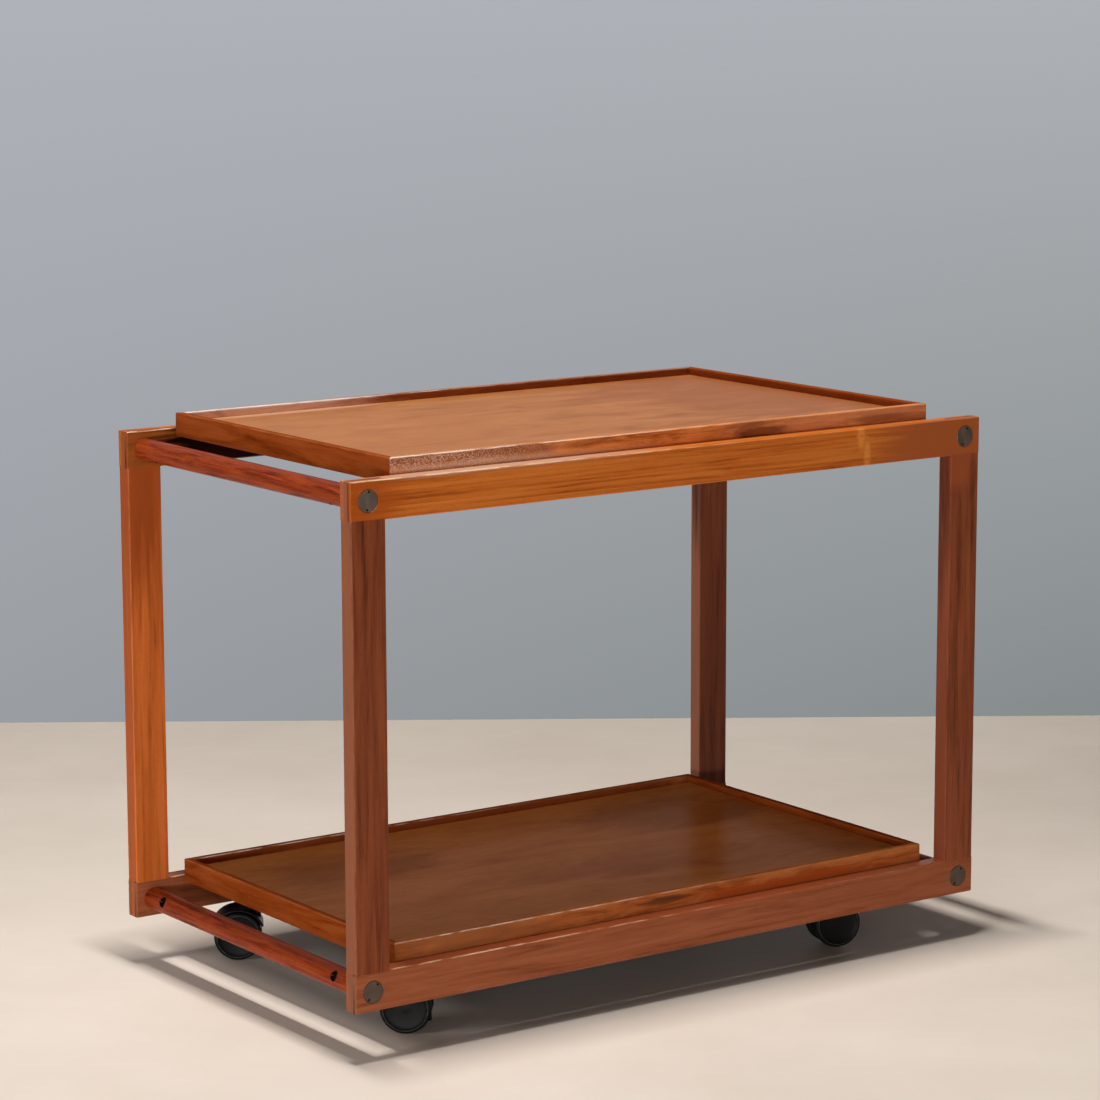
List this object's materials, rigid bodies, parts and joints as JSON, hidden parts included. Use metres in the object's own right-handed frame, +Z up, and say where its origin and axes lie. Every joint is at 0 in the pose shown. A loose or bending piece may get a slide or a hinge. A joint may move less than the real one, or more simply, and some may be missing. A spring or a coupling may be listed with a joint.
{
  "type": "serving trolley",
  "caption": "Low hardwood serving trolley: bridle-jointed side frames, round cross rods, a lift-off top tray, a slide-out bottom tray and swivelling twin-wheel casters.",
  "frame": {"origin": "on the floor, below the middle of the trolley", "axes": "+X along the trolley's length towards its right end, +Y across it towards the far side frame, +Z up"},
  "size_m": [0.76, 0.434, 0.565],
  "materials": {
    "rail_wood": "oiled",
    "leg_wood": "oiled",
    "rod_wood": "oiled, satin",
    "bearer_wood": "plain",
    "rim_wood": "oiled",
    "panel_wood": "satin",
    "bolt_steel": "dark, turned",
    "plated_steel": "zinc-plated",
    "caster_plastic": "moulded",
    "wheel_plastic": "moulded, satin"
  },
  "bodies": {
    "frame": {"near_top_rail": "rail_wood", "near_bottom_rail": "rail_wood", "far_top_rail": "rail_wood", "far_bottom_rail": "rail_wood", "near_left_leg": "leg_wood", "near_right_leg": "leg_wood", "far_left_leg": "leg_wood", "far_right_leg": "leg_wood", "left_top_rod": "rod_wood", "left_bottom_rod": "rod_wood", "right_top_rod": "rod_wood", "right_bottom_rod": "rod_wood", "left_top_bearer": "bearer_wood", "left_bottom_bearer": "bearer_wood", "right_top_bearer": "bearer_wood", "right_bottom_bearer": "bearer_wood", "near_left_top_bolt": "bolt_steel", "near_left_bottom_bolt": "bolt_steel", "near_right_top_bolt": "bolt_steel", "near_right_bottom_bolt": "bolt_steel", "far_left_top_bolt": "bolt_steel", "far_left_bottom_bolt": "bolt_steel", "far_right_top_bolt": "bolt_steel", "far_right_bottom_bolt": "bolt_steel", "near_left_top_nut": "bolt_steel", "near_left_bottom_nut": "bolt_steel", "near_right_top_nut": "bolt_steel", "near_right_bottom_nut": "bolt_steel", "far_left_top_nut": "bolt_steel", "far_left_bottom_nut": "bolt_steel", "far_right_top_nut": "bolt_steel", "far_right_bottom_nut": "bolt_steel", "near_left_caster_plate": "plated_steel", "far_left_caster_plate": "plated_steel", "near_right_caster_plate": "plated_steel", "far_right_caster_plate": "plated_steel"},
    "top_tray": {"top_tray_near_rim": "rim_wood", "top_tray_far_rim": "rim_wood", "top_tray_left_rim": "rim_wood", "top_tray_right_rim": "rim_wood", "top_tray_panel": "panel_wood"},
    "bottom_tray": {"bottom_tray_near_rim": "rim_wood", "bottom_tray_far_rim": "rim_wood", "bottom_tray_left_rim": "rim_wood", "bottom_tray_right_rim": "rim_wood", "bottom_tray_panel": "panel_wood"},
    "near_left_caster": {"near_left_caster_body": "caster_plastic"},
    "near_left_wheel_a": {"near_left_wheel_a": "wheel_plastic"},
    "near_left_wheel_b": {"near_left_wheel_b": "wheel_plastic"},
    "far_left_caster": {"far_left_caster_body": "caster_plastic"},
    "far_left_wheel_a": {"far_left_wheel_a": "wheel_plastic"},
    "far_left_wheel_b": {"far_left_wheel_b": "wheel_plastic"},
    "near_right_caster": {"near_right_caster_body": "caster_plastic"},
    "near_right_wheel_a": {"near_right_wheel_a": "wheel_plastic"},
    "near_right_wheel_b": {"near_right_wheel_b": "wheel_plastic"},
    "far_right_caster": {"far_right_caster_body": "caster_plastic"},
    "far_right_wheel_a": {"far_right_wheel_a": "wheel_plastic"},
    "far_right_wheel_b": {"far_right_wheel_b": "wheel_plastic"}
  },
  "joints": [
    {"name": "top_tray_lift", "type": "slide", "parent": "frame", "child": "top_tray", "axis": [0, 0, 1], "range_m": [0, 0.3]},
    {"name": "bottom_tray_slide", "type": "slide", "parent": "frame", "child": "bottom_tray", "axis": [1, 0, 0], "range_m": [-0.71, 0.71]},
    {"name": "near_left_swivel", "type": "hinge", "parent": "frame", "child": "near_left_caster", "pos_m": [-0.264, -0.1585, 0.05819], "axis": [0, 0, 1], "continuous": true},
    {"name": "near_left_wheel_a_turn", "type": "hinge", "parent": "near_left_caster", "child": "near_left_wheel_a", "pos_m": [-0.27887, -0.14667, 0.02479], "axis": [-0.6225, -0.7826, 0], "continuous": true},
    {"name": "near_left_wheel_b_turn", "type": "hinge", "parent": "near_left_caster", "child": "near_left_wheel_b", "pos_m": [-0.27887, -0.14667, 0.02479], "axis": [-0.6225, -0.7826, 0], "continuous": true},
    {"name": "far_left_swivel", "type": "hinge", "parent": "frame", "child": "far_left_caster", "pos_m": [-0.264, 0.1585, 0.05819], "axis": [0, 0, 1], "continuous": true},
    {"name": "far_left_wheel_a_turn", "type": "hinge", "parent": "far_left_caster", "child": "far_left_wheel_a", "pos_m": [-0.28045, 0.168, 0.02479], "axis": [-0.5, -0.866, 0], "continuous": true},
    {"name": "far_left_wheel_b_turn", "type": "hinge", "parent": "far_left_caster", "child": "far_left_wheel_b", "pos_m": [-0.28045, 0.168, 0.02479], "axis": [-0.5, -0.866, 0], "continuous": true},
    {"name": "near_right_swivel", "type": "hinge", "parent": "frame", "child": "near_right_caster", "pos_m": [0.264, -0.1585, 0.05819], "axis": [0, 0, 1], "continuous": true},
    {"name": "near_right_wheel_a_turn", "type": "hinge", "parent": "near_right_caster", "child": "near_right_wheel_a", "pos_m": [0.24588, -0.15279, 0.02479], "axis": [-0.3007, -0.9537, 0], "continuous": true},
    {"name": "near_right_wheel_b_turn", "type": "hinge", "parent": "near_right_caster", "child": "near_right_wheel_b", "pos_m": [0.24588, -0.15279, 0.02479], "axis": [-0.3007, -0.9537, 0], "continuous": true},
    {"name": "far_right_swivel", "type": "hinge", "parent": "frame", "child": "far_right_caster", "pos_m": [0.264, 0.1585, 0.05819], "axis": [0, 0, 1], "continuous": true},
    {"name": "far_right_wheel_a_turn", "type": "hinge", "parent": "far_right_caster", "child": "far_right_wheel_a", "pos_m": [0.24685, 0.16668, 0.02479], "axis": [-0.4305, -0.9026, 0], "continuous": true},
    {"name": "far_right_wheel_b_turn", "type": "hinge", "parent": "far_right_caster", "child": "far_right_wheel_b", "pos_m": [0.24685, 0.16668, 0.02479], "axis": [-0.4305, -0.9026, 0], "continuous": true}
  ]
}
